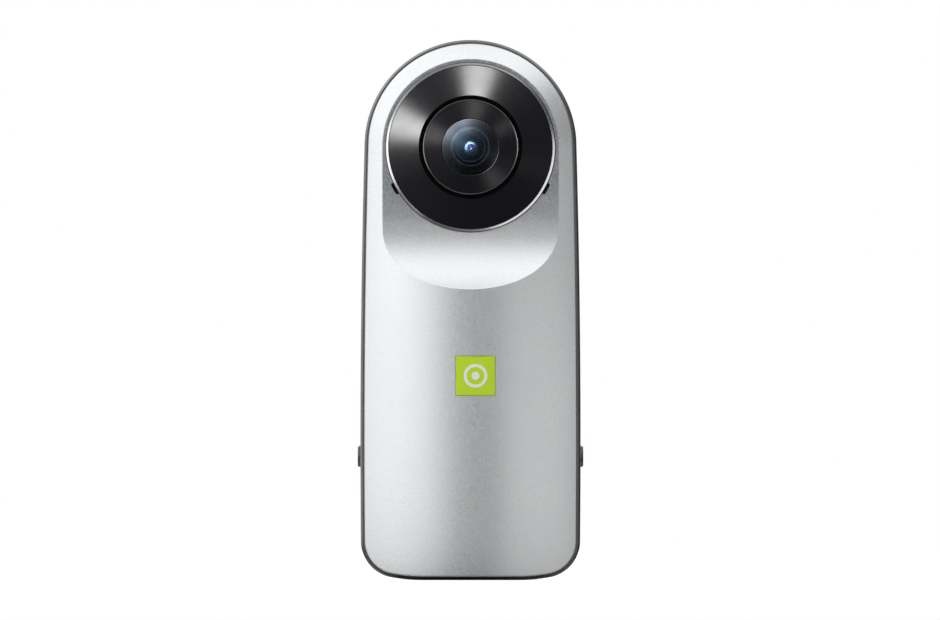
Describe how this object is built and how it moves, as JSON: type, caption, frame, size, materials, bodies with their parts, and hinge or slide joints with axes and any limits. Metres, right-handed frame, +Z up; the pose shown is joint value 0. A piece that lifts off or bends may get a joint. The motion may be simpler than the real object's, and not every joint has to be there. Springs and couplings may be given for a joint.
{
  "type": "360 degree camera",
  "caption": "Slim upright pocket camera with an arched top, a dome lens on each face, side buttons, a hinged port door and a threaded tripod socket in its base.",
  "frame": {"origin": "middle of the flat base, on the axis of the tripod thread", "axes": "+Z up from the base to the arched top; the face with the badge looks along -Y and the other lens along +Y; +X is to the right as the badge is seen"},
  "size_m": [0.0406, 0.025, 0.097],
  "materials": {
    "cover_silver": "fine blasted silver, satin",
    "frame_dark": "dark grey satin moulding",
    "gasket_black": "matt black",
    "badge_green": "lime green, satin",
    "ring_bright": "turned and polished",
    "cone_black": "spun, black anodised",
    "barrel_black": "turned, black anodised",
    "dome_glass": "polished, coated",
    "lens_glass": "polished, purple coated",
    "filter_glass": "polished, cyan coated",
    "baffle_black": "matt black",
    "sensor_face": "dark, glossy",
    "board_green": "green solder mask",
    "screw_steel": "plain",
    "mesh_black": "fine woven mesh",
    "mic_gold": "plated lid",
    "chassis_metal": "as cast",
    "shield_tin": "tinned sheet",
    "chip_black": "moulded",
    "connector_ivory": "moulded",
    "cable_amber": "flexible film",
    "battery_foil": "foil pouch",
    "foam_grey": "foam",
    "antenna_white": "ceramic block",
    "port_steel": "drawn shell",
    "insert_metal": "nickel plated",
    "switch_metal": "stamped",
    "plunger_white": "moulded",
    "button_black": "gloss",
    "light_pipe": "clear moulding",
    "led_white": "moulded",
    "seal_rubber": "matt",
    "boot_rubber": "matt"
  },
  "bodies": {
    "camera_body": {"mid_frame": "frame_dark", "front_cover": "cover_silver", "rear_cover": "cover_silver", "front_gasket": "gasket_black", "rear_gasket": "gasket_black", "badge": "badge_green", "front_lens_ring": "ring_bright", "front_lens_shroud": "cone_black", "front_lens_barrel": "barrel_black", "front_dome_glass": "dome_glass", "front_baffle_ring": "baffle_black", "front_inner_lens": "lens_glass", "front_field_lens": "lens_glass", "front_ir_filter": "filter_glass", "front_image_sensor": "sensor_face", "front_sensor_board": "board_green", "rear_lens_ring": "ring_bright", "rear_lens_shroud": "cone_black", "rear_lens_barrel": "barrel_black", "rear_dome_glass": "dome_glass", "rear_baffle_ring": "baffle_black", "rear_inner_lens": "lens_glass", "rear_field_lens": "lens_glass", "rear_ir_filter": "filter_glass", "rear_image_sensor": "sensor_face", "rear_sensor_board": "board_green", "lens_screws": "screw_steel", "mic_meshes": "mesh_black", "mic_boots": "boot_rubber", "mics": "mic_gold", "lens_chassis": "chassis_metal", "chassis_screws": "screw_steel", "main_board": "board_green", "board_screws": "screw_steel", "board_shield": "shield_tin", "processor": "chip_black", "memory_chip": "chip_black", "board_connectors": "connector_ivory", "front_sensor_cable": "cable_amber", "rear_sensor_cable": "cable_amber", "battery": "battery_foil", "battery_pad": "foam_grey", "antenna": "antenna_white", "usb_port": "port_steel", "card_socket": "port_steel", "tripod_insert": "insert_metal", "shutter_switch": "switch_metal", "power_switch": "switch_metal", "status_light": "light_pipe", "status_led": "led_white", "hinge_pin": "screw_steel"},
    "shutter": {"shutter_button": "button_black", "shutter_plunger": "plunger_white"},
    "power": {"power_button": "button_black", "power_plunger": "plunger_white"},
    "door": {"port_door": "frame_dark", "door_seal": "seal_rubber"}
  },
  "joints": [
    {"name": "shutter_press", "type": "slide", "parent": "camera_body", "child": "shutter", "axis": [-1, 0, 0], "range_m": [0, 0.0003], "stiffness_N_per_m": 1500},
    {"name": "power_press", "type": "slide", "parent": "camera_body", "child": "power", "axis": [1, 0, 0], "range_m": [0, 0.0003], "stiffness_N_per_m": 1500},
    {"name": "door_hinge", "type": "hinge", "parent": "camera_body", "child": "door", "pos_m": [0.0052, 0, 0.0007], "axis": [0, 1, 0], "range_deg": [0, 90]}
  ]
}
